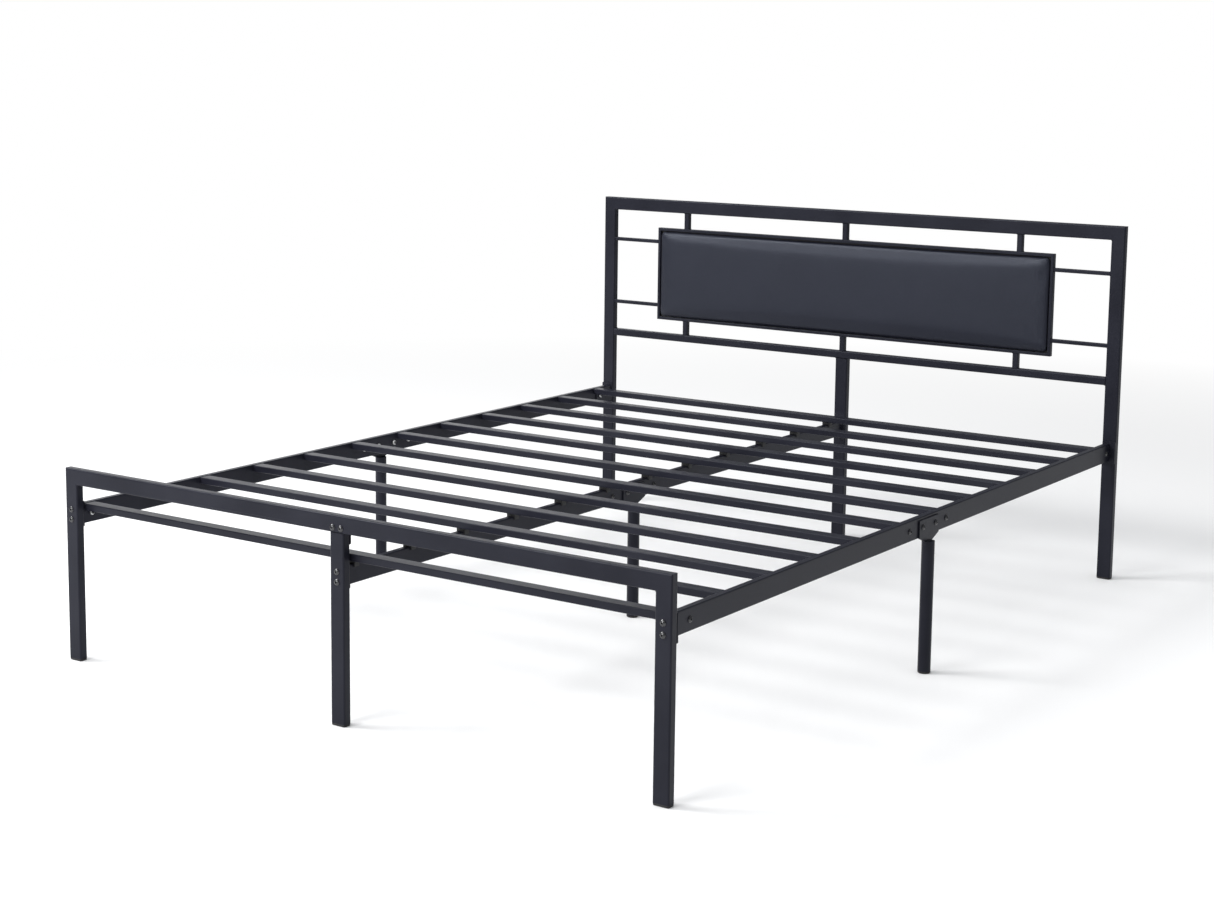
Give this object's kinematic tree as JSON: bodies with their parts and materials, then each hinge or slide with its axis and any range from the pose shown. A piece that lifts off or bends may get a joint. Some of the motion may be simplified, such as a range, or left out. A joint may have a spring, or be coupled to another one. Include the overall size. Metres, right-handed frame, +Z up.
{
  "type": "metal bed frame",
  "caption": "Knock-down steel bed frame in dark powder coat with tube slats, a low footboard and a headboard with a padded vinyl panel.",
  "frame": {"origin": "on the floor at the middle of the bounding box, under the middle of the bed", "axes": "+Z up, +Y from the footboard to the headboard, +X to the right seen from the foot of the bed"},
  "size_m": [1.541, 2.0918, 0.89],
  "materials": {
    "powder_coat": "satin charcoal powder coat",
    "pad_vinyl": "soft black vinyl with a fine grain",
    "board": "black painted fibreboard",
    "black_plastic": "moulded matte",
    "black_bolt": "black oxide",
    "zinc": "bright zinc plate"
  },
  "bodies": {
    "root": {"headboard_left_post": "powder_coat", "headboard_right_post": "powder_coat", "footboard_left_post": "powder_coat", "footboard_right_post": "powder_coat", "headboard_top_rail": "powder_coat", "footboard_top_rail": "powder_coat", "headboard_lower_rail": "powder_coat", "headboard_centre_leg": "powder_coat", "footboard_centre_leg": "powder_coat", "footboard_leg_plate": "powder_coat", "headboard_upper_spacers": "powder_coat", "headboard_lower_spacers": "powder_coat", "headboard_left_bars": "powder_coat", "headboard_right_bars": "powder_coat", "pad_frame_top": "powder_coat", "pad_frame_bottom": "powder_coat", "pad_frame_left": "powder_coat", "pad_frame_right": "powder_coat", "pad_board_tabs": "powder_coat", "side_rail_left_front": "powder_coat", "side_rail_right_front": "powder_coat", "centre_rail_front": "powder_coat", "side_rail_left_rear": "powder_coat", "side_rail_right_rear": "powder_coat", "centre_rail_rear": "powder_coat", "side_rail_joiners": "powder_coat", "centre_rail_joiner": "powder_coat", "corner_bracket_left_front": "powder_coat", "corner_bracket_left_rear": "powder_coat", "corner_bracket_right_front": "powder_coat", "corner_bracket_right_rear": "powder_coat", "centre_rail_front_plate": "powder_coat", "centre_rail_rear_plate": "powder_coat", "slat_01": "powder_coat", "slat_02": "powder_coat", "slat_03": "powder_coat", "slat_04": "powder_coat", "slat_05": "powder_coat", "slat_06": "powder_coat", "slat_07": "powder_coat", "slat_08": "powder_coat", "slat_09": "powder_coat", "slat_10": "powder_coat", "slat_11": "powder_coat", "slat_12": "powder_coat", "slat_tongues": "powder_coat", "mid_leg_left": "powder_coat", "mid_leg_centre": "powder_coat", "mid_leg_right": "powder_coat", "mid_leg_plates": "powder_coat", "headboard_board": "board", "headboard_pad": "pad_vinyl", "slat_saddles": "black_plastic", "post_feet": "black_plastic", "round_feet": "black_plastic", "pad_board_screws": "black_bolt", "post_bolts": "black_bolt", "leg_bolts": "black_bolt", "rail_bolts": "black_bolt", "nuts": "zinc"}
  },
  "joints": []
}
